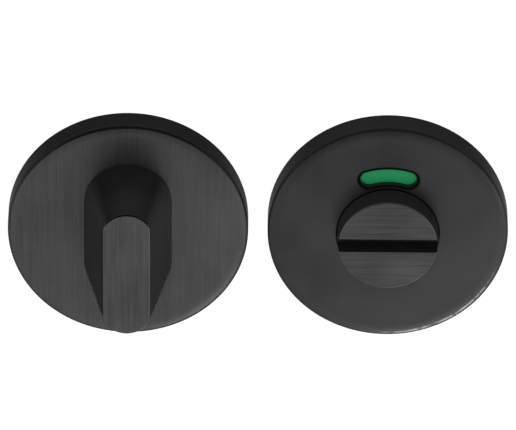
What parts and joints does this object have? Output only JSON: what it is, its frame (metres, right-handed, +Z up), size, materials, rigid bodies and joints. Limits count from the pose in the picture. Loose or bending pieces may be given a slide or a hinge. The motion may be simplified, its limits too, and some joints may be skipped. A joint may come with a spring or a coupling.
{
  "type": "bathroom thumb turn lock",
  "caption": "Dark satin turn-and-release set for a bathroom door: round roses, a tapered thumb turn on a square spindle, and a coin-slot release with a vacant indicator window.",
  "frame": {"origin": "on the thumb turn's axis, in the plane of the door face that both roses' backs lie in", "axes": "+Y into the door along the spindle, +X to the release half beside the turn half, +Z up"},
  "size_m": [0.104, 0.0616, 0.05],
  "materials": {
    "dark_steel": "satin",
    "zinc_casting": "satin",
    "bright_steel": "satin",
    "spring_steel": "satin",
    "nylon": "satin",
    "black_plastic": "matte",
    "green_foil": "satin",
    "red_foil": "satin"
  },
  "bodies": {
    "roses": {"turn_rose_cover": "dark_steel", "turn_base_plate": "zinc_casting", "turn_bush": "nylon", "turn_disc_spring": "spring_steel", "release_rose_cover": "dark_steel", "release_base_plate": "zinc_casting", "release_bush": "nylon", "release_washer": "nylon", "window_bezel": "black_plastic"},
    "turn": {"thumb_turn": "dark_steel", "spindle": "bright_steel", "grub_screw": "spring_steel", "turn_circlip": "spring_steel"},
    "release": {"coin_release": "dark_steel", "indicator_disc": "black_plastic", "vacant_foil": "green_foil", "engaged_foils": "red_foil", "release_circlip": "spring_steel"}
  },
  "joints": [
    {"name": "turn_rotation", "type": "hinge", "parent": "roses", "child": "turn", "pos_m": [0, 0, 0], "axis": [0, 1, 0], "range_deg": [-90, 90]},
    {"name": "release_rotation", "type": "hinge", "parent": "roses", "child": "release", "pos_m": [0.054, 0, 0], "axis": [0, 1, 0], "range_deg": [-90, 90]}
  ]
}
